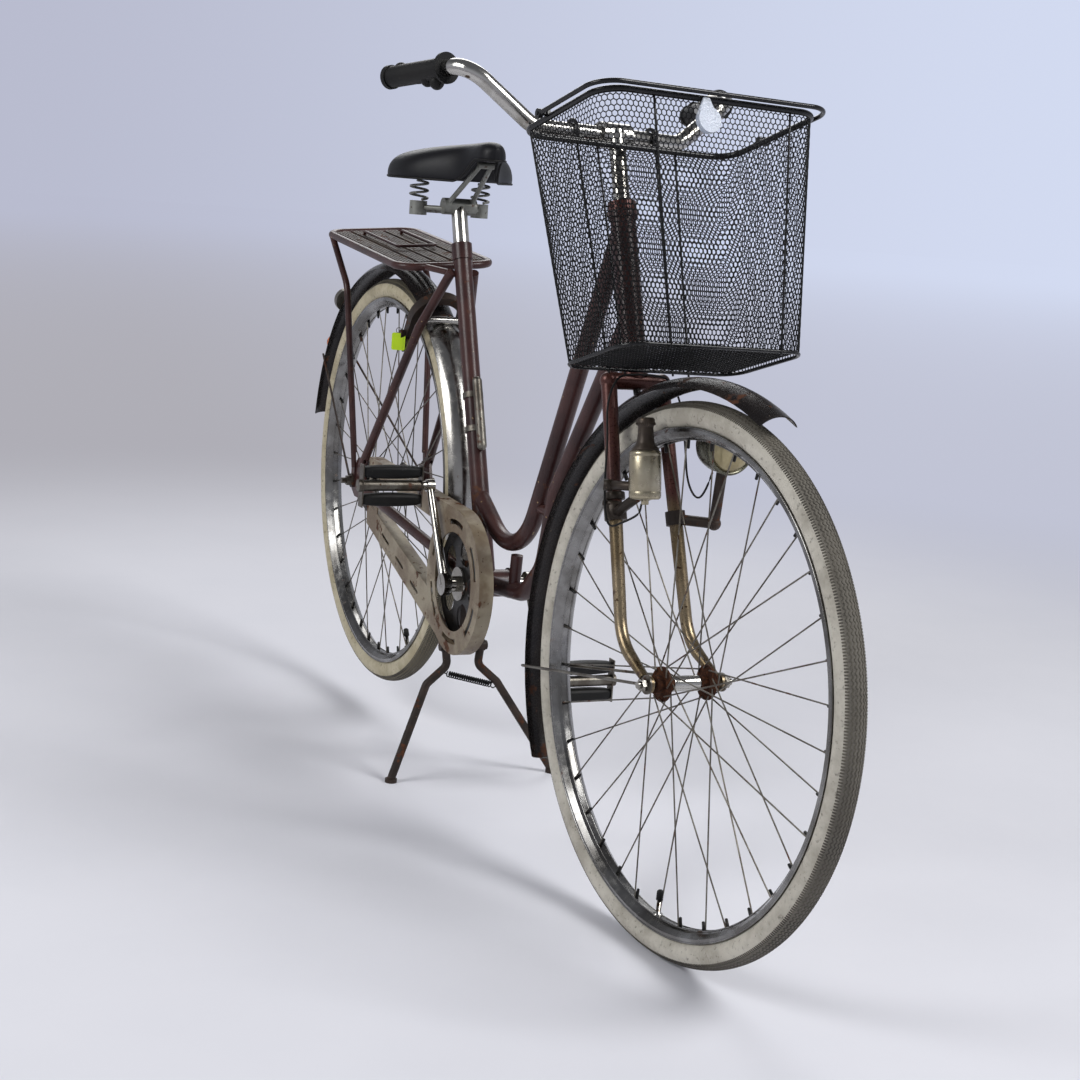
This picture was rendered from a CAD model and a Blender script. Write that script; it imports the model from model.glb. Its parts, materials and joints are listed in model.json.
"""A weathered step-through bicycle on its centre stand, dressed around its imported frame."""
import json
import logging
import math
from dataclasses import dataclass, field
from enum import Enum
from typing import Callable, Optional, Sequence

import bmesh
import bpy
from bmesh.types import BMesh, BMVert
from bpy.types import ID, Material, Mesh, Node, NodeSocket, NodeTree, Object
from mathutils import Matrix, Vector


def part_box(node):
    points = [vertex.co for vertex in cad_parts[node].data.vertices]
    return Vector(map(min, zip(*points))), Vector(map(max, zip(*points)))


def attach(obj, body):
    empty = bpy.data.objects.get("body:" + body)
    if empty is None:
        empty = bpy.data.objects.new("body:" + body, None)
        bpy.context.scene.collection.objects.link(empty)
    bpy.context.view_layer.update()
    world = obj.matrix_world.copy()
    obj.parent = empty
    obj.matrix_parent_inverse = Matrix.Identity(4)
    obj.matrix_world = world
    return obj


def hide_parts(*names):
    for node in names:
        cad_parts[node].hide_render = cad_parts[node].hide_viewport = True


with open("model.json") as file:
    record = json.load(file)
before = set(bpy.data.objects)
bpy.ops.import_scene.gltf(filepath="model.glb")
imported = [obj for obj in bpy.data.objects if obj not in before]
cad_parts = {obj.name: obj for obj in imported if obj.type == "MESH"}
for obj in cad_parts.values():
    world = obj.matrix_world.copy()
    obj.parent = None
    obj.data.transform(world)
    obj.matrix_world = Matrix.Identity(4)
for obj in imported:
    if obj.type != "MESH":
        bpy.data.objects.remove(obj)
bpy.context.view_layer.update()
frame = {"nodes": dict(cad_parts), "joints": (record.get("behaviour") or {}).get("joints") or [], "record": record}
LOG = logging.getLogger("bicycle")
MM = 0.001
Colour = tuple[float, float, float, float]
Place = tuple[float, float, float]
Profile = Sequence[tuple[float, float]]
MIX_FACTOR, MIX_A, MIX_B, MIX_RESULT = 0, 6, 7, 2
BUMP_STRENGTH = 0.6
NEAR_AXIS = 1e-5
WIRE_SIDES = 8


def shade(code: str) -> Colour:
    """Turns a written screen colour into linear values.

    Args:
        code: six hexadecimal digits after a hash.
    Returns:
        Linear red, green, blue and full opacity.
    """
    parts = [int(code[i:i + 2], 16) / 255 for i in (1, 3, 5)]
    linear = [c / 12.92 if c <= 0.04045 else ((c + 0.055) / 1.055) ** 2.4 for c in parts]
    return (linear[0], linear[1], linear[2], 1.0)


class Axis(Enum):
    """An object-space axis along which a finish changes."""

    X = 0
    Y = 1
    Z = 2


class Network:
    """A node tree under construction."""

    def __init__(self, tree: NodeTree) -> None:
        """Starts from an empty tree."""
        self.tree = tree
        tree.nodes.clear()

    def put(self, socket: NodeSocket, value: object) -> None:
        """Links a socket into another, or sets a plain value on it."""
        if isinstance(value, NodeSocket):
            self.tree.links.new(value, socket)
        else:
            socket.default_value = value

    def node(self, kind: str, operation: str = "", **links: object) -> Node:
        """Adds a node and fills its inputs.

        Args:
            kind: the node's type.
            operation: what it does, where it has a choice.
            links: sockets or values by input name, with _ for a space.
        Returns:
            The node.
        """
        made = self.tree.nodes.new(kind)
        if operation:
            made.operation = operation
        for key, value in links.items():
            self.put(made.inputs[key.replace("_", " ")], value)
        return made

    def math(self, kind: str, a: object, b: object = 0.0) -> NodeSocket:
        """One arithmetic step."""
        made = self.node("ShaderNodeMath", kind)
        self.put(made.inputs[0], a)
        self.put(made.inputs[1], b)
        return made.outputs[0]


class Graph(Network):
    """A shader tree, with short calls for the steps used most."""

    def __init__(self, owner: ID, space: str = "Object") -> None:
        """Empties the tree of a material or world.

        Args:
            owner: the material or world.
            space: which texture coordinates it reads.
        """
        owner.use_nodes = True
        super().__init__(owner.node_tree)
        self.owner = owner
        self.coord = self.node("ShaderNodeTexCoord").outputs[space]

    @classmethod
    def named(cls, name: str) -> "Graph":
        """The tree of a new material."""
        return cls(bpy.data.materials.new(name))

    def placed(self, scale: Sequence[float] = (1, 1, 1), centre: Optional[Vector] = None,
               turn: Optional[Matrix] = None) -> NodeSocket:
        """Object coordinates, centred, turned and stretched.

        Args:
            scale: stretch along each axis.
            centre: point that becomes the origin.
            turn: rotation applied after centring.
        Returns:
            The mapped coordinates.
        """
        here = self.coord
        if centre is not None:
            here = self.node("ShaderNodeMapping", Location=-centre, Vector=here).outputs[0]
        mapping = self.node("ShaderNodeMapping", Scale=scale, Vector=here)
        if turn is not None:
            mapping.inputs["Rotation"].default_value = turn.to_euler()
        return mapping.outputs[0]

    def noise(self, scale: float, detail: float = 5, rough: float = 0.6,
              stretch: Sequence[float] = (1, 1, 1)) -> NodeSocket:
        """Fractal noise on object coordinates."""
        return self.node("ShaderNodeTexNoise", Vector=self.placed(stretch), Scale=scale, Detail=detail,
                         Roughness=rough).outputs[0]

    def band(self, value: NodeSocket, low: float, high: float, start: float = 0.0,
             end: float = 1.0) -> NodeSocket:
        """A smooth step of a value from start to end between low and high."""
        ramp = self.node("ShaderNodeMapRange", Value=value, From_Min=low, From_Max=high, To_Min=start,
                         To_Max=end)
        ramp.interpolation_type = "SMOOTHSTEP"
        return ramp.outputs[0]

    def math(self, kind: str, a: object, b: object = 0.0) -> NodeSocket:
        """One arithmetic step, with sums and products held between 0 and 1."""
        result = super().math(kind, a, b)
        result.node.use_clamp = kind in ("ADD", "MULTIPLY")
        return result

    def vector(self, kind: str, a: object, b: object = (0, 0, 0)) -> NodeSocket:
        """One step of vector arithmetic."""
        made = self.node("ShaderNodeVectorMath", kind)
        self.put(made.inputs[0], a)
        self.put(made.inputs[1], b)
        return made.outputs["Value" if kind == "LENGTH" else "Vector"]

    def part(self, vector: NodeSocket, axis: Axis) -> NodeSocket:
        """One coordinate of a vector."""
        return self.node("ShaderNodeSeparateXYZ", Vector=vector).outputs[axis.value]

    def mix(self, amount: object, a: object, b: object) -> NodeSocket:
        """A blend of two colours."""
        made = self.node("ShaderNodeMix")
        made.data_type = "RGBA"
        for place, value in ((MIX_FACTOR, amount), (MIX_A, a), (MIX_B, b)):
            self.put(made.inputs[place], value)
        return made.outputs[MIX_RESULT]

    def blend(self, share: object, a: Node, b: Node) -> Node:
        """A mixture of two surfaces."""
        made = self.node("ShaderNodeMixShader")
        for socket, value in zip(made.inputs, (share, a.outputs[0], b.outputs[0])):
            self.put(socket, value)
        return made

    def close(self, surface: Node) -> ID:
        """Ends the tree on a surface and returns its owner."""
        kind = "Material" if isinstance(self.owner, Material) else "World"
        self.node(f"ShaderNodeOutput{kind}", Surface=surface.outputs[0])
        return self.owner

    def finish(self, colour: object, rough: object, metal: object, height: object, depth: float,
               **fixed: float) -> Material:
        """Joins the parts of a finish to its surface.

        Args:
            colour: base colour, value or socket.
            rough: roughness, value or socket.
            metal: metallic share, value or socket.
            height: relief for the bump.
            depth: depth of the relief in metres.
            fixed: constants set on the surface by socket name, with _ for a space.
        Returns:
            The finished material.
        """
        bump = self.node("ShaderNodeBump", Distance=depth, Strength=BUMP_STRENGTH, Height=height)
        return self.close(self.node("ShaderNodeBsdfPrincipled", Base_Color=colour, Roughness=rough,
                                    Metallic=metal, Normal=bump.outputs[0], **fixed))


RUST_DEEP = shade("#2c1a13")
RUST_BRIGHT = shade("#553320")
DUST = shade("#7d766c")
CLOUD_BAND = (0.38, 0.62)
FACING_BAND = (0.2, 1.0)
GRIT_BAND = (0.35, 0.6, 0.3, 1.0)
TINT_BAND = (0.35, 0.7)
GRAIN_BAND = (0.2, 0.8)
RUST_EDGE, RUST_REACH, RUST_SOFT, RUST_ROUGH = 0.70, 0.34, 0.03, 0.4
NO_RUST = 2.5
CHIP_LOW, CHIP_HIGH, CHIP_REACH = 0.74, 0.78, 0.16
SMOOTHEST = 0.04


@dataclass(frozen=True)
class Patina:
    """A worn surface: a mottled ground, dust on top, rust in patches and small chips."""

    name: str
    ground: str
    mottle: str
    chip: str = "#3b1f14"
    metal: float = 0.0
    rough: float = 0.45
    rust: float = 0.2
    chips: float = 0.2
    dust: float = 0.2
    patch: float = 22.0
    grain: float = 420.0
    depth: float = 0.0004
    streak: tuple[float, float, float] = (1, 1, 1)
    coat: float = 0.0
    shine: float = 0.5

    def layers(self, g: Graph) -> tuple[object, object, object, object]:
        """Builds the layers.

        Args:
            g: the tree to build in.
        Returns:
            Colour, roughness, metallic share and relief.
        """
        cloud = g.noise(self.patch * 0.6, 4, 0.6, self.streak)
        fine = g.noise(self.grain, 3, 0.6)
        patch = g.noise(self.patch, 9, 0.68, self.streak)
        tint = g.noise(self.patch * 4, 5, 0.6)
        colour = g.mix(g.band(cloud, *CLOUD_BAND), shade(self.ground), shade(self.mottle))
        facing = g.part(g.node("ShaderNodeNewGeometry").outputs["Normal"], Axis.Z)
        lying = g.math("MULTIPLY", g.band(facing, *FACING_BAND), g.band(fine, *GRIT_BAND))
        colour = g.mix(g.math("MULTIPLY", lying, self.dust), colour, DUST)
        edge = RUST_EDGE - RUST_REACH * self.rust if self.rust else NO_RUST
        rusted = g.band(patch, edge - RUST_SOFT, edge + RUST_SOFT)
        reach = CHIP_REACH * self.chips
        flake = g.band(g.noise(self.grain * 0.35, 2, 0.5), CHIP_LOW - reach, CHIP_HIGH - reach)
        colour = g.mix(flake, colour, shade(self.chip))
        colour = g.mix(rusted, colour, g.mix(g.band(tint, *TINT_BAND), RUST_DEEP, RUST_BRIGHT))
        rough = g.band(fine, *GRAIN_BAND, max(self.rough - 0.08, SMOOTHEST), self.rough + 0.12)
        rough = g.math("ADD", rough, g.math("MULTIPLY", rusted, RUST_ROUGH))
        metal = g.math("MULTIPLY", g.math("SUBTRACT", 1.0, rusted), self.metal)
        height = g.math("ADD", g.math("MULTIPLY", fine, 0.35), g.math("MULTIPLY", rusted, 0.4))
        return colour, rough, metal, height

    def material(self) -> Material:
        """Makes this finish by itself."""
        g = Graph.named(self.name)
        return g.finish(*self.layers(g), self.depth, Coat_Weight=self.coat, Specular_IOR_Level=self.shine)

    def beside(self, other: "Patina", axis: Axis, low: float, high: float) -> Material:
        """Makes one material of two finishes, changing along an axis.

        Args:
            other: the finish past high.
            axis: the object axis.
            low: where the change starts.
            high: where it ends.
        Returns:
            The joined material.
        """
        g = Graph.named(f"{self.name}_and_{other.name}")
        wander = g.math("MULTIPLY", g.noise(30, 4), 0.02)
        share = g.band(g.math("SUBTRACT", g.part(g.coord, axis), wander), low, high)
        rest = g.math("SUBTRACT", 1.0, share)
        a, b = self.layers(g), other.layers(g)
        both = [g.math("ADD", g.math("MULTIPLY", x, rest), g.math("MULTIPLY", y, share))
                for x, y in zip(a[1:], b[1:])]
        return g.finish(g.mix(share, a[0], b[0]), *both, self.depth, Specular_IOR_Level=self.shine)


PAINT = Patina("maroon_enamel", "#2f1a19", "#412724", chip="#a58a63", rough=0.32, rust=0.2, chips=0.1,
               dust=0.04, coat=0.08, depth=0.0001, shine=0.28)
FORK_ENAMEL = Patina("faded_fork_enamel", "#54302a", "#3c2420", chip="#a88e62", rough=0.3, rust=0.3,
                     chips=0.12, dust=0.02, streak=(1, 1, 0.35), metal=0.5, depth=0.0001, shine=0.3)
CHROME = Patina("worn_chrome", "#b9b7b2", "#8d8981", chip="#4a3d30", metal=1.0, rough=0.14, rust=0.12,
                chips=0.2, dust=0.03, patch=30, depth=2e-05, grain=90.0)
POLISHED = Patina("polished_guard", "#a9a7a3", "#8e8b86", chip="#5a4634", metal=1.0, rough=0.2, rust=0.16,
                  chips=0.25, dust=0.02, patch=16, streak=(1, 1, 0.5), depth=2e-05, grain=70.0)
RIM_CHROME = Patina("rim_chrome", "#8f8e8c", "#6d6b68", chip="#4d3f32", metal=1.0, rough=0.2, rust=0.1,
                    chips=0.25, dust=0.02, patch=24, depth=2e-05, grain=80.0)
TARNISH = Patina("tarnished_steel", "#7a766e", "#58524a", chip="#3f2c1f", metal=0.85, rough=0.38, rust=0.26,
                 chips=0.5, dust=0.05, patch=40, depth=6e-05)
GOLDEN = Patina("yellowed_chrome", "#8f8068", "#6e5f47", chip="#3e2a1c", metal=0.9, rough=0.3, rust=0.26,
                chips=0.5, dust=0.03, patch=34, streak=(1, 1, 0.4), depth=4e-05)
DARK = Patina("dark_rusty_steel", "#2a231f", "#3b302a", chip="#6a5040", metal=0.15, rough=0.46, rust=0.35,
              chips=0.2, dust=0.04, patch=36, depth=0.0002, shine=0.25)
RUSTED = Patina("rusted_hub", "#35251d", "#4a3224", chip="#6d5040", metal=0.2, rough=0.6, rust=0.8, chips=0.5,
                dust=0.1, patch=60, shine=0.2)
BLACKED = Patina("blacked_steel", "#101010", "#1b1917", chip="#4d4035", metal=0.1, rough=0.34, rust=0.16,
                 chips=0.2, dust=0.0, patch=40, depth=0.0001, shine=0.25)
SLATS = Patina("grey_brown_slats", "#342b27", "#43382f", chip="#241b17", metal=0.0, rough=0.55, rust=0.3,
               chips=0.4, dust=0.0, patch=40, shine=0.2)
GUARD = Patina("beige_enamel_rusting", "#8f8571", "#6a5b48", chip="#3f2a1c", rough=0.42, rust=0.3, chips=0.35,
               dust=0.08, patch=24, depth=0.0002, shine=0.3)
MUDGUARD = Patina("mudguard_patina", "#1d1a1a", "#2a2523", chip="#7b6c5c", metal=0.1, rough=0.24, rust=0.24,
                  chips=0.1, dust=0.0, patch=22, depth=8e-05, shine=0.22)
RUBBER = Patina("black_rubber", "#0f0f0f", "#191817", chip="#34322f", rough=0.5, rust=0, chips=0.1, dust=0.02,
                grain=700, depth=0.0002, shine=0.22)
LEATHERETTE = Patina("black_saddle_cover", "#0b0b0e", "#121216", chip="#1f1f24", rough=0.42, rust=0,
                     chips=0.05, dust=0.0, grain=900, depth=0.0003, shine=0.22)
WIRE = Patina("black_gloss_wire", "#09090a", "#101012", chip="#2e2c2b", rough=0.22, rust=0, chips=0.05,
              dust=0.02, shine=0.35)
NET = Patina("black_coated_net", "#070708", "#0d0d0e", chip="#222224", rough=0.42, rust=0, chips=0.05,
             dust=0.0, shine=0.2)
LAMP = Patina("aged_lamp_shell", "#6b6a5c", "#4b483e", chip="#3a2b20", metal=0.9, rough=0.26, rust=0.2,
              chips=0.2, dust=0.02, depth=3e-05)
SADDLE_STEEL = Patina("grey_saddle_steel", "#84857f", "#6a6a64", chip="#45392c", metal=0.4, rough=0.42,
                      rust=0.16, chips=0.5, dust=0.08, patch=40)
TAG = Patina("yellow_green_tag", "#c2e60f", "#b2d80f", chip="#8aa60f", rough=0.35, rust=0, chips=0.05,
             dust=0.02)
DRAWN = Patina("drawn_aluminium", "#bdb6a2", "#a39a84", chip="#5d5344", metal=0.95, rough=0.3, rust=0.05,
               chips=0.15, dust=0.0, depth=0.00003, grain=120.0)
BRONZED = Patina("bronzed_casting", "#2e2823", "#40372f", chip="#5e5042", metal=0.4, rough=0.4, rust=0.2,
                 chips=0.3, dust=0.03, depth=0.0001, shine=0.3)
LENS = Patina("yellowed_lens", "#a59a78", "#8d8161", chip="#c8c0a2", metal=0.55, rough=0.14, rust=0,
              chips=0.05, dust=0.0, depth=0.00002, patch=60)
TREAD = Patina("worn_tread", "#5b564c", "#423e37", chip="#7d776a", rough=0.75, rust=0, chips=0.3,
               dust=0.1, grain=600)


@dataclass(frozen=True)
class TyreRubber:
    """Aged pale rubber with a dirty running surface."""

    name: str
    wall: str
    stain: str
    tread: str
    place: Matrix
    radius: float
    worn_from: float = 8.5 * MM
    worn_to: float = 4 * MM

    def material(self) -> Material:
        """Makes the finish, darker towards the running surface."""
        g = Graph.named(self.name)
        local = g.placed(centre=self.place.translation, turn=self.place.to_3x3().inverted())
        out = g.vector("LENGTH", g.vector("MULTIPLY", local, (1, 1, 0)))
        dirt = g.noise(16, 8, 0.7)
        fine = g.noise(500, 3, 0.6)
        tread = shade(self.tread)
        colour = g.mix(g.band(dirt, 0.36, 0.66), shade(self.wall), shade(self.stain))
        colour = g.mix(g.band(g.noise(140, 5, 0.65), 0.56, 0.7, 0, 0.7), colour, tread)
        worn = g.math("MULTIPLY", g.band(out, self.radius - self.worn_from, self.radius - self.worn_to), 0.85)
        return g.finish(g.mix(worn, colour, tread), g.band(fine, *GRAIN_BAND, 0.62, 0.85), 0.0, fine, 0.0003)


@dataclass(frozen=True)
class Lens:
    """Clear or tinted moulded plastic with fine prisms."""

    name: str
    tint: str
    clear: float
    prism: float = 700.0
    index: float = 1.49

    def material(self) -> Material:
        """Makes the finish."""
        g = Graph.named(self.name)
        prisms = g.node("ShaderNodeTexVoronoi", Vector=g.placed(), Scale=self.prism)
        grime = g.noise(60, 5)
        colour = g.mix(g.band(grime, 0.5, 0.75, 0, 0.35), shade(self.tint), DUST)
        return g.finish(colour, g.band(grime, 0.3, 0.7, 0.12, 0.35), 0.0, prisms.outputs["Distance"], 0.0006,
                        Transmission_Weight=self.clear, IOR=self.index)


class Maker(Network):
    """A Geometry Nodes tree with named inputs, ending in Realize Instances and Set Material."""

    def __init__(self, name: str, **inputs: str) -> None:
        """Makes the tree.

        Args:
            name: its name.
            inputs: kinds of its number inputs, such as Int, by name.
        """
        super().__init__(bpy.data.node_groups.new(name, "GeometryNodeTree"))
        face = self.tree.interface
        for key, kind in {"Geometry": "Geometry", **inputs, "Material": "Material"}.items():
            face.new_socket(key, in_out="INPUT", socket_type=f"NodeSocket{kind}")
        face.new_socket("Geometry", in_out="OUTPUT", socket_type="NodeSocketGeometry")
        self.source = self.node("NodeGroupInput").outputs

    def close(self, geometry: NodeSocket) -> "Maker":
        """Ends the tree on one geometry."""
        real = self.node("GeometryNodeRealizeInstances", Geometry=geometry)
        dyed = self.node("GeometryNodeSetMaterial", Geometry=real.outputs[0],
                         Material=self.source["Material"])
        self.node("NodeGroupOutput", Geometry=dyed.outputs[0])
        return self

    def copies(self, points: Node, **links: object) -> "Maker":
        """Ends the tree on the input shape copied to points."""
        return self.close(self.node("GeometryNodeInstanceOnPoints", Points=points.outputs[0],
                                    Instance=self.source["Geometry"], **links).outputs[0])

    def strand(self, path: Node, sides: int, radius: NodeSocket) -> "Maker":
        """Ends the tree on a round strand along a path."""
        section = self.node("GeometryNodeCurvePrimitiveCircle", Resolution=sides, Radius=radius)
        return self.close(self.node("GeometryNodeCurveToMesh", Curve=path.outputs[0],
                                    Profile_Curve=section.outputs[0], Fill_Caps=True).outputs[0])

    def run(self, name: str, mesh: Mesh, material: Material, place: Matrix,
            **values: float) -> Object:
        """Evaluates the tree on a mesh and keeps the result as a plain mesh.

        Args:
            name: name of the finished piece.
            mesh: starting mesh in local coordinates.
            material: finish of the result.
            place: local to frame.
            values: the named inputs.
        Returns:
            The finished object at the origin.
        """
        obj = bpy.data.objects.new(name, mesh)
        bpy.context.scene.collection.objects.link(obj)
        modifier = obj.modifiers.new("build", "NODES")
        modifier.node_group = self.tree
        for item in self.tree.interface.items_tree:
            if item.in_out == "INPUT" and item.name in values:
                modifier[item.identifier] = values[item.name]
            if item.in_out == "INPUT" and item.name == "Material":
                modifier[item.identifier] = material
        graph = bpy.context.evaluated_depsgraph_get()
        made = bpy.data.meshes.new_from_object(obj.evaluated_get(graph), depsgraph=graph)
        obj.modifiers.remove(modifier)
        made.transform(place)
        made.name = name
        obj.data = made
        return obj


def ring_tree() -> Maker:
    """Copies of one shape turned evenly about local Z."""
    t = Maker("copies_round_an_axis", Count="Int")
    points = t.node("GeometryNodePoints", Count=t.source["Count"])
    share = t.math("DIVIDE", t.node("GeometryNodeInputIndex").outputs[0], t.source["Count"])
    spin = t.node("ShaderNodeCombineXYZ", Z=t.math("MULTIPLY", share, math.tau))
    return t.copies(points, Rotation=spin.outputs[0])


def row_tree() -> Maker:
    """Copies of one shape spaced along local Z."""
    t = Maker("copies_in_a_row", Count="Int", Pitch="Float")
    step = t.node("ShaderNodeCombineXYZ", Z=t.source["Pitch"])
    return t.copies(t.node("GeometryNodeMeshLine", Count=t.source["Count"], Offset=step.outputs[0]))


def net_tree() -> Maker:
    """A strand along every edge of a net."""
    t = Maker("strands_on_a_net", Strand="Float")
    return t.strand(t.node("GeometryNodeMeshToCurve", Mesh=t.source["Geometry"]), 4, t.source["Strand"])


def coil_tree() -> Maker:
    """A helical spring along local Z."""
    t = Maker("coil_spring", Turns="Float", Radius="Float", Length="Float", Wire="Float")
    path = t.node("GeometryNodeCurveSpiral", Resolution=18, Rotations=t.source["Turns"],
                  Start_Radius=t.source["Radius"], End_Radius=t.source["Radius"], Height=t.source["Length"])
    return t.strand(path, 6, t.source["Wire"])


def mesh_from(name: str, build: Callable[[BMesh], None], clean: bool = True) -> Mesh:
    """Makes a mesh with one building function.

    Args:
        name: mesh name.
        build: adds the geometry.
        clean: whether normals are recalculated outwards.
    Returns:
        The mesh.
    """
    bm = bmesh.new()
    build(bm)
    if clean and bm.faces:
        bmesh.ops.remove_doubles(bm, verts=bm.verts, dist=1e-6)
        bmesh.ops.recalc_face_normals(bm, faces=bm.faces)
    mesh = bpy.data.meshes.new(name)
    bm.to_mesh(mesh)
    bm.free()
    return mesh


def circle(count: int) -> list[float]:
    """Angles evenly round a full turn."""
    return [math.tau * k / count for k in range(count)]


def power(value: float, exponent: float) -> float:
    """A power that keeps the sign, which squares off a round section."""
    return math.copysign(abs(value) ** exponent, value)


def skin_into(bm: BMesh, rings: Sequence[list[BMVert]], loop: bool = False,
              capped: bool = True) -> None:
    """Joins rings of vertices with quads.

    Args:
        bm: receives the faces.
        rings: rings of equal length.
        loop: whether the last ring joins the first.
        capped: whether open ends are closed with one face each.
    """
    for a, b in zip(rings, rings[1:] + rings[:1] if loop else rings[1:]):
        for k in range(len(a)):
            m = (k + 1) % len(a)
            bm.faces.new((a[k], a[m], b[m], b[k]))
    if capped and not loop:
        bm.faces.new(rings[0][::-1])
        bm.faces.new(rings[-1])


def tube_into(bm: BMesh, points: Sequence[Vector], radius: float, sides: int = 10,
              closed: bool = False) -> None:
    """Adds a round tube along a path.

    Args:
        bm: receives the tube.
        points: the path.
        radius: tube radius.
        sides: faces round the tube.
        closed: whether the path is a loop.
    """
    rings: list[list[BMVert]] = []
    count = len(points)
    normal = Vector((0, 0, 1))
    for i, p in enumerate(points):
        before = points[i - 1] if (i or closed) else p
        after = points[(i + 1) % count] if (i + 1 < count or closed) else p
        way = (after - before).normalized()
        if abs(normal.dot(way)) > 0.95:
            normal = way.orthogonal()
        normal = (normal - way * normal.dot(way)).normalized()
        side = way.cross(normal)
        rings.append([bm.verts.new(p + radius * (math.cos(a) * normal + math.sin(a) * side))
                      for a in circle(sides)])
    skin_into(bm, rings, loop=closed)


def block_into(bm: BMesh, centre: Vector, axes: tuple[Vector, Vector, Vector]) -> None:
    """Adds a tapering block from its centre and three half axes, the third being its height."""
    corners = []
    for w, shrink in ((-1, 1.0), (1, 0.8)):
        for u, v in ((-1, -1), (1, -1), (1, 1), (-1, 1)):
            corners.append(bm.verts.new(centre + axes[0] * u * shrink + axes[1] * v * shrink + axes[2] * w))
    for f in ((3, 2, 1, 0), (4, 5, 6, 7), (0, 1, 5, 4), (1, 2, 6, 5), (2, 3, 7, 6), (3, 0, 4, 7)):
        bm.faces.new([corners[k] for k in f])


def lathe_into(bm: BMesh, profile: Profile, place: Matrix, sides: int = 20) -> None:
    """Adds a closed turned shape about local Z.

    Args:
        bm: receives the shape.
        profile: radius and height pairs in millimetres that start and end on the axis.
        place: local to frame.
        sides: faces round the shape.
    """
    rings = []
    for r, z in profile:
        r = max(r * MM, NEAR_AXIS)
        rings.append([bm.verts.new(place @ Vector((r * math.cos(a), r * math.sin(a), z * MM)))
                      for a in circle(sides)])
    skin_into(bm, rings)


def net_into(bm: BMesh, verts: dict[tuple[int, int], BMVert], odd: int) -> None:
    """Adds the strands of a six-sided net.

    Args:
        bm: receives the strands.
        verts: crossings by column and row.
        odd: which crossings have a strand to the next row, 0 even and 1 odd.
    """
    for (i, j), v in verts.items():
        if (i + 1, j) in verts:
            bm.edges.new((v, verts[i + 1, j]))
        if (i + j) % 2 == odd and (i, j + 1) in verts:
            bm.edges.new((v, verts[i, j + 1]))


def keep(obj: Object, body: str, slot: str, *nodes: str, smooth: bool = True) -> Object:
    """Fastens a finished piece to its body.

    Args:
        obj: the piece.
        body: the body it rides on.
        slot: the record's material slot.
        nodes: frame nodes that it stands for.
        smooth: whether it is shaded smooth.
    Returns:
        The piece.
    """
    for poly in obj.data.polygons:
        poly.use_smooth = smooth
    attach(obj, body)
    if nodes:
        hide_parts(*nodes)
    LOG.info("%s on %s, %d faces", obj.name, body, len(obj.data.polygons))
    return obj


def plain(name: str, mesh: Mesh, material: Material) -> Object:
    """Links a mesh as an object with one material."""
    obj = bpy.data.objects.new(name, mesh)
    obj.data.materials.append(material)
    bpy.context.scene.collection.objects.link(obj)
    return obj


def shaped(name: str, build: Callable[[BMesh], None], material: Material) -> Object:
    """Makes a piece with one building function and one material."""
    return plain(name, mesh_from(name, build), material)


def turned(name: str, profile: Profile, place: Matrix, material: Material,
           sides: int = 20) -> Object:
    """Makes a piece turned about local Z from a profile in millimetres."""
    return shaped(name, lambda bm: lathe_into(bm, profile, place, sides), material)


def looped(name: str, points: Sequence[Vector], radius: float, material: Material) -> Object:
    """Makes a closed wire along points."""
    return shaped(name, lambda bm: tube_into(bm, points, radius, WIRE_SIDES, closed=True), material)


def joint(name: str) -> tuple[Vector, Vector]:
    """Position and axis of a joint at rest."""
    for j in frame["joints"]:
        if j["name"] == name:
            return Vector(j["pos_m"]), Vector(j["axis"]).normalized()
    raise KeyError(name)


def upright(origin: Vector, axis: Vector) -> Matrix:
    """A placing matrix whose local Z lies on an axis."""
    return Matrix.Translation(origin) @ axis.to_track_quat("Z", "Y").to_matrix().to_4x4()


def steered() -> Matrix:
    """The turn of the front end at rest, from the drawn straight-ahead place."""
    at, axis = joint("steering_turn")
    _, spin = joint("front_wheel_spin")
    turn = Matrix.Rotation(math.acos(min(1.0, spin.y)), 4, axis)
    return Matrix.Translation(at) @ turn @ Matrix.Translation(-at)


def from_rear_axle(x: float, y: float, z: float) -> Vector:
    """A place given in millimetres ahead and left of the rear axle and above the ground."""
    rear, _ = joint("rear_wheel_spin")
    return Vector((rear.x + x * MM, rear.y + y * MM, z * MM))


def upright_at(place: Place, axis: Place) -> Matrix:
    """A placing matrix at a place of the front end in millimetres, with local Z along an axis."""
    return steered() @ upright(from_rear_axle(*place), Vector(axis).normalized())


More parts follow.
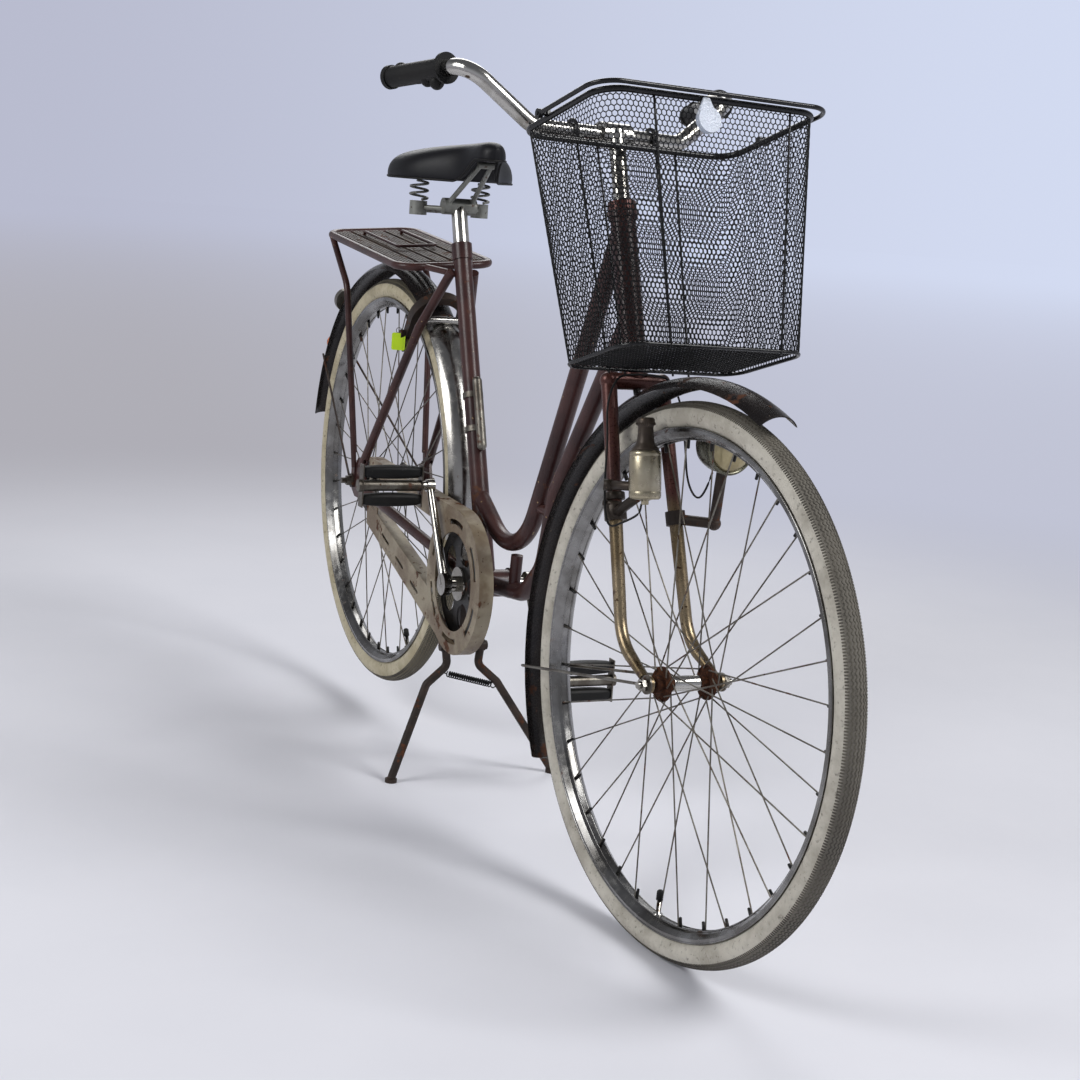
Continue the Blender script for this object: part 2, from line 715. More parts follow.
@dataclass
class Wheel:
    """Tread, rim beads, nipples, valve and barrel of one wheel, in metres and profiles in millimetres."""

    name: str
    wall: str
    stain: str
    tread: str
    valve_angle: float = -90.0
    radius: float = 350 * MM
    section: float = 18 * MM
    rim_inner: float = 303 * MM
    pitches: int = 300
    ribs: Sequence[float] = (-30, -15, 0, 15, 30)
    shoulder: float = 50
    rib_thick: float = 0.75
    rib_high: float = 0.45
    beads: Sequence[Place] = ((317, 13.9, 1.5), (317, -13.9, 1.5), (303.1, 4.6, 1.1), (303.1, -4.6, 1.1))
    bead_steps: int = 180
    nipples: int = 36
    nipple: Profile = ((0, 0), (2.6, 0), (2.3, 4), (1.9, 12), (0, 13))
    stem: Profile = ((0, -2), (6, -2), (6, 2), (3, 2.5), (3, 24), (0, 24))
    cap: Profile = ((0, 20), (4.6, 20), (4.4, 31), (2.5, 33), (0, 33.5))
    barrel: Profile = ((0, -20), (10.2, -20), (9.9, -18), (9.9, 18), (10.2, 20), (0, 20))
    place: Matrix = field(init=False)

    def __post_init__(self) -> None:
        """Finds the wheel's place from its joint."""
        self.place = upright(*joint(f"{self.name}_spin"))

    def on_section(self, phi: float, lift: float, along: float) -> tuple[Vector, Vector, Vector]:
        """A point over the tyre's round section.

        Args:
            phi: degrees from the outermost line.
            lift: height over the rubber.
            along: shift round the wheel.
        Returns:
            The point, the outward direction and the sideways direction.
        """
        c, s = math.cos(math.radians(phi)), math.sin(math.radians(phi))
        middle = self.radius - self.section
        out, side = Vector((c, 0, s)), Vector((-s, 0, c))
        return Vector((middle, along, 0)) + out * (self.section + lift), out, side

    def rubber(self) -> Material:
        """The tyre's finish, centred on this wheel."""
        return TyreRubber(f"{self.name}_rubber", self.wall, self.stain, self.tread, self.place,
                          self.radius).material()

    def tread_piece(self, rings: Maker, material: Material) -> None:
        """Zigzag ribs over the running surface and a serrated shoulder."""
        step = math.tau * self.radius / self.pitches

        def build(bm: BMesh) -> None:
            """One pitch of the pattern."""
            for phi in self.ribs:
                for half in (-1, 1):
                    p, out, side = self.on_section(phi, 0.1 * MM, half * step * 0.25)
                    way = (Vector((0, 1, 0)) + side * 0.75 * half).normalized()
                    across = way.cross(out) * self.rib_thick * MM
                    block_into(bm, p, (way * step * 0.32, across, out * self.rib_high * MM))
            for phi in (-self.shoulder, self.shoulder):
                p, out, side = self.on_section(phi, 0.15 * MM, 0)
                for shift in (-0.25, 0.25):
                    block_into(bm, p + Vector((0, step * shift, 0)),
                               (side * 2.6 * MM, Vector((0, step * 0.13, 0)), out * self.rib_high * MM))

        obj = rings.run(f"{self.name}_tread", mesh_from("pitch", build), material, self.place,
                        Count=self.pitches)
        keep(obj, self.name, "tyre_" + self.name.replace("_wheel", ""), smooth=False)

    def bead_piece(self, material: Material) -> None:
        """Rolled beads along the rim's edges and bed."""

        def build(bm: BMesh) -> None:
            """Adds every bead as a closed ring."""
            for radius, side, thick in self.beads:
                path = [self.place @ Vector((radius * MM * math.cos(a), radius * MM * math.sin(a), side * MM))
                        for a in circle(self.bead_steps)]
                tube_into(bm, path, thick * MM, WIRE_SIDES, closed=True)

        keep(shaped(f"{self.name}_rim_beads", build, material), self.name, "chrome")

    def nipple_piece(self, rings: Maker, material: Material) -> None:
        """Spoke nipples standing on the rim bed, pointing at the hub."""
        way = Matrix.Translation((self.rim_inner + 1 * MM, 0, 0)) @ Matrix.Rotation(math.radians(-90), 4, "Y")
        seed = mesh_from("nipple", lambda bm: lathe_into(bm, self.nipple, way, 8))
        obj = rings.run(f"{self.name}_nipples", seed, material, self.place, Count=self.nipples)
        keep(obj, self.name, "dark_steel")

    def valve_piece(self, metal: Material, rubber: Material) -> None:
        """A valve stem with its locknut and black dust cap."""
        angle = math.radians(self.valve_angle)
        inside = self.place.to_3x3().inverted() @ Vector((math.cos(angle), 0, math.sin(angle)))
        inside = Vector((inside.x, inside.y, 0)).normalized()
        way = self.place @ upright(inside * self.rim_inner, -inside)
        keep(turned(f"{self.name}_valve", self.stem, way, metal), self.name, "chrome")
        keep(turned(f"{self.name}_valve_cap", self.cap, way, rubber), self.name, "black_rubber")

    def barrel_piece(self, bright: Material) -> None:
        """The polished barrel between the rusted flanges of the front hub."""
        keep(turned("front_hub_barrel", self.barrel, self.place, bright, 32), self.name, "chrome")


@dataclass
class Basket:
    """The front basket's expanded net, floor and upright wires."""

    top_w: float = 318 * MM
    low_w: float = 260 * MM
    top_d: float = 207 * MM
    low_d: float = 164 * MM
    height: float = 306 * MM
    inset: float = 27 * MM
    lean: float = 17.0
    ahead: float = 25 * MM
    datum: float = 1.0
    corner: float = 34
    corner_loss: float = 4
    floor_lift: float = 7 * MM
    floor_corner: float = 30 * MM
    cell: float = 7.6 * MM
    row: float = 0.86
    zigzag: float = 0.17
    strand: float = 0.72 * MM
    edge_r: float = 2.4 * MM
    upright_r: float = 1.5 * MM
    uprights: Sequence[int] = (157, 197, 60, 66, 84, 90)
    place: Matrix = field(init=False)

    def __post_init__(self) -> None:
        """Finds the basket's place from the steering."""
        at, axis = joint("steering_turn")
        origin = at + axis * ((self.datum - at.z) / axis.z) + Vector((self.ahead, 0, 0))
        turn = Matrix.Rotation(math.radians(-self.lean), 4, "Y")
        self.place = steered() @ Matrix.Translation(origin) @ turn

    def outline(self, share: float, count: int, shrink: float = 0.0) -> list[Vector]:
        """Even points round the wall at one height.

        Args:
            share: 0 at the rim, 1 at the floor.
            count: number of points.
            shrink: distance inside the wall.
        Returns:
            The points in the basket's own frame.
        """
        width = self.top_w + (self.low_w - self.top_w) * share - 2 * shrink
        depth = self.top_d + (self.low_d - self.top_d) * share - 2 * shrink
        x0 = self.inset * share + shrink
        r = (self.corner - self.corner_loss * share) * MM - shrink
        corners = ((x0 + depth - r, width / 2 - r, 0), (x0 + r, width / 2 - r, 90),
                   (x0 + r, -width / 2 + r, 180), (x0 + depth - r, -width / 2 + r, 270))
        path: list[Vector] = []
        for cx, cy, start in corners:
            for k in range(9):
                a = math.radians(start + 90 * k / 8)
                path.append(Vector((cx + r * math.cos(a), cy + r * math.sin(a), -self.height * share)))
        lengths = [(path[(i + 1) % len(path)] - p).length for i, p in enumerate(path)]
        total, made, i, gone = sum(lengths), [], 0, 0.0
        for k in range(count):
            want = total * k / count
            while gone + lengths[i] < want:
                gone += lengths[i]
                i += 1
            made.append(path[i].lerp(path[(i + 1) % len(path)], (want - gone) / lengths[i]))
        return made

    def walls(self, nets: Maker, material: Material) -> None:
        """Two halves of the six-sided net round the basket."""
        around = 2 * round((self.top_w + self.top_d) * 2 / self.cell)
        rows = round(self.height / (self.cell * self.row))
        grid = [self.outline(min(1.0, max(0.012, (j + z) / rows)), around)
                for j in range(rows) for z in (self.zigzag, -self.zigzag)]

        def half(bm: BMesh, first: int, last: int) -> None:
            """Adds the columns from first to last."""
            net_into(bm, {(i, j): bm.verts.new(grid[2 * j + (i + j) % 2][i % around])
                          for j in range(rows) for i in range(first, last + 1)}, 0)

        for k, name in enumerate(("basket_net_left", "basket_net_right")):
            mesh = mesh_from(name, lambda bm: half(bm, k * around // 2, (k + 1) * around // 2), clean=False)
            obj = nets.run(name, mesh, material, self.place, Strand=self.strand)
            keep(obj, "steering", "black_mesh", *(("basket_mesh",) if k == 0 else ()), smooth=False)

    def floor(self, nets: Maker, material: Material) -> None:
        """The net floor, cut off at round corners."""
        half, row = self.cell / 2, self.cell * self.row

        def build(bm: BMesh) -> None:
            """Adds the flat net."""
            verts = {}
            for i in range(1, int(self.low_d / half)):
                for j in range(1, int(self.low_w / row)):
                    y = -self.low_w / 2 + (j + 2 * self.zigzag * ((i + j) % 2)) * self.cell * self.row
                    x = self.inset + i * half
                    dx = max(0.0, abs(x - self.inset - self.low_d / 2) - self.low_d / 2 + self.floor_corner)
                    dy = max(0.0, abs(y) - self.low_w / 2 + self.floor_corner)
                    if math.hypot(dx, dy) < self.floor_corner - 1 * MM:
                        verts[i, j] = bm.verts.new((x, y, -self.height + self.floor_lift))
            net_into(bm, verts, 1)

        net = nets.run("basket_floor_net", mesh_from("floor", build, clean=False), material, self.place,
                       Strand=self.strand)
        keep(net, "steering", "black_mesh", "basket_tray", smooth=False)

    def wires(self, material: Material) -> None:
        """The edge wire of the floor and the uprights in the walls."""

        def build(bm: BMesh) -> None:
            """Adds every wire."""
            tube_into(bm, [self.place @ p for p in self.outline(0.985, 96)], self.edge_r, 10, closed=True)
            loops = [self.outline(s / 10, 200, -1.2 * MM) for s in range(11)]
            for column in self.uprights:
                tube_into(bm, [self.place @ loop[column] for loop in loops], self.upright_r, WIRE_SIDES)

        keep(shaped("basket_wires", build, material), "steering", "black_wire")


@dataclass
class Saddle:
    """A crowned cover with a raised nose, hanging flaps and an open front underside."""

    sections: int = 40
    around: int = 18
    flap: float = 7 * MM
    roof: float = 31 * MM
    wall: float = 9 * MM
    tip: float = 0.9
    narrow: float = 0.57
    welt_r: float = 1.7 * MM

    def section(self, t: float) -> tuple[float, float, float, float, float]:
        """Place, half width, crown, flap edge and underside at a share of the length from the back."""

        def rise(low: float, span: float) -> float:
            """A smooth step from 0 at low to 1 after a span."""
            x = min(1.0, max(0.0, (t - low) / span))
            return x * x * (3 - 2 * x)

        def left(span: float) -> float:
            """What is left of a span at the back: 1 at the end and 0 past it."""
            return max(0.0, 1 - t / span)

        lo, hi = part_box("saddle_cover")
        nose = max(0.0, (t - self.tip) / (1 - self.tip))
        taper = 0.2 + 0.8 / (1 + math.exp((t - self.narrow) * 11.5))
        ends = math.sqrt(max(0.0, 1 - left(0.24) ** 2.6)) * math.sqrt(max(0.0, 1 - nose ** 2.4))
        crown = hi.z - MM * (21 * (1 - t) ** 1.4 + 11 * nose ** 2 + 14 * left(0.1) ** 2)
        edge = lo.z + MM * (9 * left(0.22) ** 1.6 + 35 * rise(0.68, 0.2))
        under = edge + 0.5 * MM + max(0.0, hi.z - self.roof - edge) * rise(0.36, 0.08)
        half = (hi.y - lo.y) / 2 * taper * ends
        return lo.x + (hi.x - lo.x) * t, half, crown, edge, min(under, crown - self.wall)

    def build(self, cover: Material, welt: Material) -> None:
        """Makes the cover and its welt in the place of the frame's saddle."""
        lo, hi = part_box("saddle_cover")
        mid = (lo.y + hi.y) / 2
        rim: list[Vector] = []

        def shell(bm: BMesh) -> None:
            """Adds the closed cover: an outer skin and an inner one joined along the flaps."""
            turns = [math.pi * k / self.around for k in range(self.around + 1)]
            rings = []
            for i in range(self.sections + 1):
                t = 0.5 - 0.5 * math.cos(math.pi * (0.025 + 0.95 * i / self.sections))
                x, w, top, low, under = self.section(t)
                inner = max(w - self.flap, w * 0.55)
                outer = [(w * power(math.cos(a), 0.8), low + (top - low) * abs(math.sin(a)) ** 0.72)
                         for a in turns]
                hollow = [(inner * power(math.cos(a), 0.7),
                           low + 0.3 * MM + (under - low) * abs(math.sin(a)) ** 0.5) for a in turns[::-1]]
                rings.append([bm.verts.new((x, mid + y, z)) for y, z in outer + hollow])
                rim.insert(0, Vector((x, mid + w * 0.985, low + 1.2 * MM)))
                rim.append(Vector((x, mid - w * 0.985, low + 1.2 * MM)))
            skin_into(bm, rings, capped=False)
            for ring in (rings[0], rings[-1][::-1]):
                for k in range(len(ring) // 2 - 1):
                    bm.faces.new((ring[k], ring[-1 - k], ring[-2 - k], ring[k + 1]))

        body = shaped("saddle_cushion", shell, cover)
        finer = body.modifiers.new("smooth", "SUBSURF")
        finer.levels = finer.render_levels = 2
        keep(body, "frame", "saddle_black", "saddle_cover")
        keep(looped("saddle_welt", rim, self.welt_r, welt), "frame", "saddle_black")


@dataclass
class Grips:
    """Finger ribs of the grips."""

    bumps: int = 5
    pitch: float = 20 * MM
    drop: float = 6.5
    bump: Profile = ((0, -9), (7, -7), (10.2, -3), (10.8, 0), (10.2, 3), (7, 7), (0, 9))

    def ribs(self, rows: Maker, material: Material) -> None:
        """Adds a row of finger bumps under each grip."""
        for name in ("grip_left", "grip_right"):
            points = [v.co for v in frame["nodes"][name].data.vertices]
            centre = sum(points, Vector()) / len(points)
            far = max(points, key=lambda p: (p - centre).length)
            near = max(points, key=lambda p: (p - far).length)
            way = (far - near).normalized()
            low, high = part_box(name)
            under = (Vector((0, 0, -1)) + way * way.z).normalized()
            start = (low + high) / 2 + under * self.drop * MM - way * self.pitch * (self.bumps - 1) / 2
            mesh = mesh_from("bump", lambda bm: lathe_into(bm, self.bump, Matrix.Identity(4)))
            obj = rows.run(f"{name}_finger_ribs", mesh, material, upright(start, way), Count=self.bumps,
                           Pitch=self.pitch)
            keep(obj, "steering", "black_rubber")


@dataclass
class Stand:
    """The coil spring between the legs of the stand."""

    coils: float = 20
    coil_r: float = 4.5 * MM
    wire_r: float = 1.05 * MM
    eye_r: float = 4.5 * MM
    ends: Sequence[Place] = ((404.7, -31, 171), (406.8, 59, 147.2))

    def spring(self, coils: Maker, material: Material) -> None:
        """Makes the coil from leg to leg with a hook and an eye."""
        a, b = (from_rear_axle(*end) for end in self.ends)
        way = (b - a).normalized()
        start, length = a + way * 7 * MM, (b - a).length - 16 * MM
        seed = mesh_from("seed", lambda bm: bm.verts.new((0, 0, 0)) and None, clean=False)
        coil = coils.run("stand_spring_coil", seed, material, upright(start, way), Turns=self.coils,
                         Radius=self.coil_r, Length=length, Wire=self.wire_r)
        keep(coil, "centre_stand", "dark_steel", "stand_spring")

        def hooks(bm: BMesh) -> None:
            """Adds the hook and the eye."""
            hook = [a - way * MM, start - way * 2 * MM, start + Vector((0, 0, self.coil_r))]
            tube_into(bm, hook, self.wire_r, WIRE_SIDES)
            eye = b - way * 5 * MM
            side = way.cross(Vector((1, 0, 0))).normalized()
            tube_into(bm, [eye + self.eye_r * (math.cos(q) * way + math.sin(q) * side) for q in circle(16)],
                      self.wire_r, WIRE_SIDES, closed=True)

        keep(shaped("stand_spring_hooks", hooks, material), "centre_stand", "dark_steel")


@dataclass
class Pedal:
    """Convex ribbed rubber blocks of one pedal."""

    side: str
    rings: int = 16
    around: int = 40
    thick: float = 10.5 * MM
    ribs: int = 10
    groove: float = 0.035
    squareness: float = 0.6

    def swell(self, i: int) -> float:
        """How full the block is at one ring."""
        end = 0.86 if i in (0, self.rings) else 1
        return (0.74 + 0.26 * math.sin(math.pi * i / self.rings) ** 0.7) * end

    def blocks(self, material: Material) -> None:
        """Makes the upper and lower block in the frame's own space for them."""
        node = f"pedal_blocks_{self.side}"
        lo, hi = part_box(node)
        mid, width = (lo.x + hi.x) / 2, (hi.x - lo.x) / 2

        def ring(z: float, i: int) -> list[Place]:
            """The places round one section of the block at a height."""
            y, places = lo.y + (hi.y - lo.y) * i / self.rings, []
            for a in circle(self.around):
                full = (1 - self.groove * (math.cos(self.ribs * a) > 0.2)) * self.swell(i)
                places.append((mid + width * full * power(math.cos(a), self.squareness), y,
                               z + self.thick * full * power(math.sin(a), self.squareness)))
            return places

        def build(bm: BMesh) -> None:
            """Adds both blocks."""
            for z in (lo.z + self.thick, hi.z - self.thick):
                skin_into(bm, [[bm.verts.new(p) for p in ring(z, i)] for i in range(self.rings + 1)])

        blocks = shaped(f"pedal_rubbers_{self.side}", build, material)
        keep(blocks, f"{self.side}_pedal", "black_rubber", node)


@dataclass
class Dynamo:
    """A drawn shell, waisted neck, knurled cap, blank oval plate and the clamp on the blade."""

    at: Place = (1050, -41, 599)
    lean: Place = (-0.177, -0.005, 1)
    radius: float = 20.3
    teeth: int = 30
    neck: Profile = ((0, 28), (17.5, 29), (17.2, 32), (12.4, 37), (10.8, 42), (10, 50), (9.6, 58), (9.8, 60),
                     (12, 61.5), (12.2, 64), (11.4, 66), (11.6, 68), (9.5, 70.5), (0, 71))
    bands: Sequence[Place] = ((541, 14.6, 11), (560, 13.6, 5))
    plate_turn: float = -38
    plate_rims: Profile = ((7.5, 4.6), (6.3, 3.5))

    def shell(self) -> Profile:
        """The drawn can with a bead at each end of its wall."""
        r = self.radius
        return ((0, -38), (4.4, -38), (4.8, -37), (4.8, -33), (9, -31.6), (r - 3, -31.2), (r - 0.8, -29.5),
                (r, -27), (r, -22), (r - 0.5, -21), (r, -20), (r, 22), (r - 0.5, 23), (r, 24), (r - 0.4, 27),
                (r - 2, 29.4), (0, 29.6))

    def fixing(self, bm: BMesh) -> None:
        """Adds the clamp on the blade, its arms and the bolt, drawn straight ahead."""
        at, axis = joint("steering_turn")

        def blade(z: float) -> Vector:
            """Middle of the right blade at a height in millimetres."""
            spread = 40 + 10 * (702 - z) / 317
            return at + axis * ((z * MM - at.z) / axis.z) + Vector((0, -spread * MM, 0))

        for z, r, high in self.bands:
            band = ((0, -high), (r - 1, -high), (r, 1 - high), (r, high - 1), (r - 1, high), (0, high))
            lathe_into(bm, band, upright(blade(z), axis), 28)
        arms = ((blade(541) + Vector((8, -4, 0)) * MM, from_rear_axle(1052, -41, 577), 6.5),
                (from_rear_axle(1003, -64, 577), from_rear_axle(1050, -43, 583), 6.0),
                (from_rear_axle(1001, -70, 577), from_rear_axle(1007, -60, 577), 7.6),
                (blade(552) + Vector((14, -2, 0)) * MM, blade(552) + Vector((-2, -16, 0)) * MM, 4.5))
        for a, b, thick in arms:
            tube_into(bm, [a, (a + b) / 2, b], thick * MM, 14)

    def build(self, rings: Maker, bright: Material, black: Material) -> None:
        """Makes every piece of the dynamo."""
        place = upright_at(self.at, self.lean)
        keep(turned("dynamo_shell", self.shell(), place, bright, 48), "steering", "chrome", "dynamo")
        keep(turned("dynamo_neck", self.neck, place, black, 40), "steering", "chrome")
        half_axes = tuple(Vector(v) * MM for v in ((0, 0.5, 0), (0, 0, 1.6), (0.5, 0, 0)))
        tooth = mesh_from("tooth", lambda bm: block_into(bm, Vector((12.1, 0, 63)) * MM, half_axes))
        knurl = rings.run("dynamo_cap_knurl", tooth, black, place, Count=self.teeth)
        keep(knurl, "steering", "chrome", smooth=False)
        clamp = mesh_from("fixing", self.fixing)
        clamp.transform(steered())
        keep(plain("dynamo_clamp", clamp, black), "steering", "chrome")

        def plate(bm: BMesh) -> None:
            """Adds the rims of the blank plate, lying on the shell."""
            r = self.radius
            for wide, tall in self.plate_rims:
                path = []
                for a in circle(40):
                    q = math.radians(self.plate_turn) + wide / r * math.cos(a)
                    path.append(place @ (Vector(((r + 0.1) * math.cos(q), (r + 0.1) * math.sin(q),
                                                 tall * math.sin(a) - 3)) * MM))
                tube_into(bm, path, 0.4 * MM, 6, closed=True)

        keep(shaped("dynamo_plate_rim", plate, black), "steering", "chrome")


@dataclass
class Headlamp:
    """A bowl with a rolled rim and a domed lens."""

    at: Place = (1062, 62, 640)
    sides: int = 56
    bowl: Profile = ((0, -34), (9, -33), (18, -29.5), (26, -23), (31.5, -14), (34, -3), (34.3, 12),
                     (33.6, 15), (35.2, 16.5), (35.2, 20), (33.5, 22.4), (31.5, 22.6), (31, 20), (0, 19))
    dome: Profile = ((0, 17), (30.8, 18), (30.9, 20.5), (27, 24.5), (20, 28), (11, 30.3), (0, 31.2))

    def build(self, shell: Material, glass: Material) -> None:
        """Makes both pieces."""
        place = upright_at(self.at, (1, 0, 0))
        bowl = turned("headlamp_bowl", self.bowl, place, shell, self.sides)
        keep(bowl, "steering", "lamp_shell", "headlamp")
        dome = turned("headlamp_lens", self.dome, place, glass, self.sides)
        keep(dome, "steering", "lamp_shell")


@dataclass
class KeyTag:
    """A blank moulded tag turned outwards on its ring, in millimetres."""

    turn: float = 62
    corner: float = 3
    drop: float = 20
    slabs: Sequence[Place] = ((11, 14, 1.6), (11 * 0.72, 14 * 0.74, 1.6 * 1.25))
    ring_r: float = 4.5
    ring_drop: float = 2
    wire_r: float = 0.6

    def build(self, plastic: Material, steel: Material) -> None:
        """Makes the tag, hung under the top of the frame's own, and its ring."""
        lo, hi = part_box("key_tag")
        at = Vector(((lo.x + hi.x) / 2, (lo.y + hi.y) / 2, hi.z))
        turn = Matrix.Translation(at) @ Matrix.Rotation(math.radians(self.turn), 4, "Z")

        def slab(bm: BMesh) -> None:
            """Adds the plate with rounded corners and a raised middle."""
            for wide, tall, depth in self.slabs:
                loop = []
                for cx, cy, start in ((1, 1, 0), (-1, 1, 90), (-1, -1, 180), (1, -1, 270)):
                    for a in (math.radians(start + 18 * k) for k in range(6)):
                        loop.append((cx * (wide - self.corner) + self.corner * math.cos(a),
                                     cy * (tall - self.corner) + self.corner * math.sin(a)))
                skin_into(bm, [[bm.verts.new(turn @ (Vector((x, d, z - self.drop)) * MM)) for x, z in loop]
                               for d in (-depth, depth)])

        keep(shaped("key_tag_plate", slab, plastic), "frame", "tag_yellow", "key_tag", smooth=False)
        r = self.ring_r
        path = [turn @ (Vector((r * math.cos(a), 0, r * math.sin(a) - self.ring_drop)) * MM)
                for a in circle(24)]
        keep(looped("key_ring", path, self.wire_r * MM, steel), "frame", "tarnished_steel")


@dataclass
class Paintwork:
    """Finishes on the frame's own nodes."""

    wheels: Sequence[Wheel]

    def apply(self) -> dict[str, Material]:
        """Gives every frame node its finish.

        Returns:
            Materials by short name, for the added pieces.
        """
        kit = {p.name: p.material() for p in (
            PAINT, CHROME, RIM_CHROME, TARNISH, GOLDEN, DARK, RUSTED, BLACKED, SLATS, GUARD, MUDGUARD, RUBBER,
            LEATHERETTE, WIRE, NET, LAMP, SADDLE_STEEL, TAG, TREAD, DRAWN, BRONZED, LENS)}
        kit["clear"] = Lens("clear_reflector", "#dfe6f2", 0.35).material()
        kit["amber"] = Lens("amber_reflector", "#c8641a", 0.2).material()
        by_slot = {"frame_paint": PAINT, "fork_paint": PAINT, "dark_steel": DARK, "tarnished_steel": TARNISH,
                   "chrome": CHROME, "rusty_guard": GUARD, "mudguard": MUDGUARD, "black_rubber": RUBBER,
                   "saddle_black": LEATHERETTE, "black_wire": WIRE, "black_mesh": NET, "tag_yellow": TAG,
                   "lamp_shell": LAMP, "pedal_metal": TARNISH, "wire_black": RUBBER}
        by_node = {"front_hub": RUSTED, "chainring": BLACKED, "rack_slats": SLATS, "front_rim": RIM_CHROME,
                   "rear_rim": RIM_CHROME, "saddle_frame": SADDLE_STEEL, "saddle_springs": SADDLE_STEEL,
                   "rack_frame": PAINT}
        slots = {"amber": kit["amber"], "clear_plastic": kit["clear"],
                 **{k: kit[p.name] for k, p in by_slot.items()}}
        special = {"fork": GOLDEN.beside(FORK_ENAMEL, Axis.Z, 0.52, 0.56),
                   "rear_fender": MUDGUARD.beside(POLISHED, Axis.X, -0.345, -0.325),
                   **{k: kit[p.name] for k, p in by_node.items()}}
        for wheel in self.wheels:
            special[wheel.name.replace("wheel", "tyre")] = kit[wheel.name] = wheel.rubber()
        asked = {s["node"]: s["material_slot"] for s in frame["record"]["subparts"]}
        for name, obj in frame["nodes"].items():
            chosen = special.get(name) or slots[asked[name]]
            if not obj.material_slots:
                obj.data.materials.append(chosen)
            for s in obj.material_slots:
                s.material = chosen
        LOG.info("finishes on %d nodes", len(frame["nodes"]))
        return kit


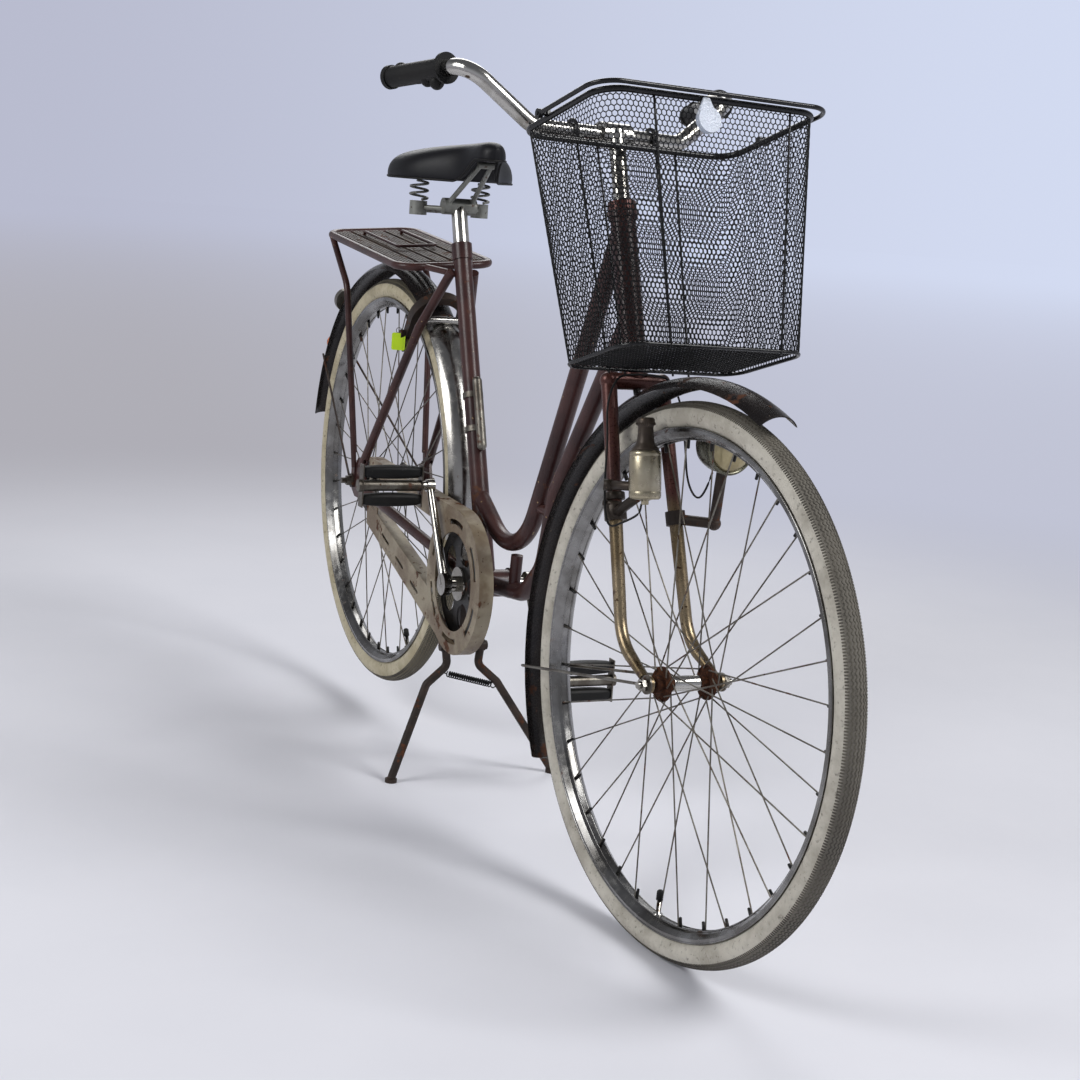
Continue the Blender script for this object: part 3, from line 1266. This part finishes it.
@dataclass
class Studio:
    """Floor, soft lamps and camera."""

    floor_pale: Colour = shade("#dedee4")
    floor_dull: Colour = shade("#d5d6dd")
    light: Colour = shade("#e6e9f3")
    sky_ends: tuple[Colour, Colour] = (shade("#b9bccf"), shade("#d3dbf1"))
    wall_ends: tuple[Colour, Colour] = (shade("#afaeb6"), shade("#c1c4d5"))
    across: tuple[float, float] = (0.12, 0.66)
    floor_r: float = 30
    shadow_band: tuple[float, float] = (1.5, 3.8)
    sky_band: tuple[float, float] = (3.5, 24.0)
    dome_band: tuple[float, float, float, float] = (0.05, 0.75, 0.6, 0.2)
    lamps: Sequence[tuple[str, Place, float, float]] = (
        ("key_lamp", (2.6, 1.9, 3.4), 1.7, 120), ("side_lamp", (0.4, -3.4, 2.6), 1.8, 75),
        ("back_lamp", (-3.0, 1.0, 2.9), 2.2, 50))
    aim: Place = (0, 0, 0.5)
    camera_at: Place = (2.66042, -1.11594, 0.9643)
    yaw: float = 155.96
    pitch: float = -10.685
    roll: float = 4.137
    lens: float = 65.49
    sensor: float = 36.0

    def floor(self) -> None:
        """A wide pale floor that fades into the backdrop for the rays that see it."""
        mesh = mesh_from("floor", lambda bm: bmesh.ops.create_circle(
            bm, cap_ends=True, segments=96, radius=self.floor_r) and None, clean=False)
        g = Graph.named("studio_floor")
        mottle = g.band(g.noise(3, 5, 0.6), 0.3, 0.7, 0, 0.25)
        matt = g.node("ShaderNodeBsdfDiffuse", Color=g.mix(mottle, self.floor_pale, self.floor_dull))
        far = g.vector("LENGTH", g.coord)
        side = g.band(g.part(g.vector("NORMALIZE", g.coord), Axis.Y), *self.across)
        backdrop = g.mix(g.band(far, *self.sky_band), g.mix(side, *self.wall_ends),
                         g.mix(side, *self.sky_ends))
        ray = g.node("ShaderNodeLightPath").outputs
        seen = g.math("ADD", ray["Is Camera Ray"], ray["Is Glossy Ray"])
        seen = g.math("ADD", seen, ray["Is Transmission Ray"])
        share = g.math("MULTIPLY", g.band(far, *self.shadow_band), seen)
        g.close(g.blend(share, matt, g.node("ShaderNodeEmission", Color=backdrop)))
        plain("studio_floor", mesh, g.owner)

    def sky(self) -> None:
        """A soft dome of light, and an even backdrop for the rays that see it."""
        world = bpy.data.worlds.new("studio")
        bpy.context.scene.world = world
        g = Graph(world, "Generated")
        ray = g.node("ShaderNodeLightPath").outputs
        share = g.math("MAXIMUM", ray["Is Camera Ray"], ray["Is Transmission Ray"])
        lit = g.node("ShaderNodeBackground", Strength=g.band(g.part(g.coord, Axis.Z), *self.dome_band),
                     Color=self.light)
        side = g.band(g.part(g.coord, Axis.Y), *self.across)
        g.close(g.blend(share, lit, g.node("ShaderNodeBackground", Color=g.mix(side, *self.sky_ends))))

    def lamp(self, name: str, at: Place, size: float, watts: float) -> None:
        """A square soft lamp aimed at the middle of the object."""
        data = bpy.data.lights.new(name, "AREA")
        data.size, data.energy = size, watts
        obj = bpy.data.objects.new(name, data)
        obj.location = at
        obj.rotation_euler = (Vector(self.aim) - Vector(at)).to_track_quat("-Z", "Y").to_euler()
        bpy.context.scene.collection.objects.link(obj)

    def camera(self) -> None:
        """The camera at its taking place."""
        y, p, r = (math.radians(v) for v in (self.yaw, self.pitch, self.roll))
        ahead = Vector((math.cos(y) * math.cos(p), math.sin(y) * math.cos(p), math.sin(p)))
        right = Vector((math.sin(y), -math.cos(y), 0))
        up = right.cross(ahead)
        across = math.cos(r) * right + math.sin(r) * up
        top = -math.sin(r) * right + math.cos(r) * up
        data = bpy.data.cameras.new("camera")
        data.lens, data.sensor_width = self.lens, self.sensor
        obj = bpy.data.objects.new("camera", data)
        turn = Matrix((across, top, -ahead)).transposed().to_4x4()
        obj.matrix_world = Matrix.Translation(self.camera_at) @ turn
        bpy.context.scene.collection.objects.link(obj)
        bpy.context.scene.camera = obj

    def build(self) -> None:
        """Sets up the whole studio."""
        self.camera()
        self.floor()
        self.sky()
        for lamp in self.lamps:
            self.lamp(*lamp)
        bpy.context.scene.view_settings.view_transform = "Standard"


def main() -> None:
    """Builds the studio, the finishes and every added piece in order."""
    logging.basicConfig(level=logging.INFO, format="%(name)s: %(message)s")
    Studio().build()
    wheels = (Wheel("front_wheel", "#c2bdb0", "#a19b8e", "#4a453d"),
              Wheel("rear_wheel", "#bfb69c", "#a3987c", "#524b39", valve_angle=-60))
    kit = Paintwork(wheels).apply()
    rings, rows, nets = ring_tree(), row_tree(), net_tree()
    for wheel in wheels:
        wheel.tread_piece(rings, kit[TREAD.name])
        wheel.bead_piece(kit[RIM_CHROME.name])
        wheel.nipple_piece(rings, kit[BLACKED.name])
        wheel.valve_piece(kit[CHROME.name], kit[RUBBER.name])
    basket = Basket()
    basket.walls(nets, kit[NET.name])
    basket.floor(nets, kit[NET.name])
    basket.wires(kit[WIRE.name])
    Saddle().build(kit[LEATHERETTE.name], kit[RUBBER.name])
    Grips().ribs(rows, kit[RUBBER.name])
    Stand().spring(coil_tree(), kit[NET.name])
    for side in ("left", "right"):
        Pedal(side).blocks(kit[RUBBER.name])
    Dynamo().build(rings, kit[DRAWN.name], kit[BRONZED.name])
    Headlamp().build(kit[LAMP.name], kit[LENS.name])
    wheels[0].barrel_piece(kit[CHROME.name])
    KeyTag().build(kit[TAG.name], kit[TARNISH.name])


if __name__ == "__main__":
    main()
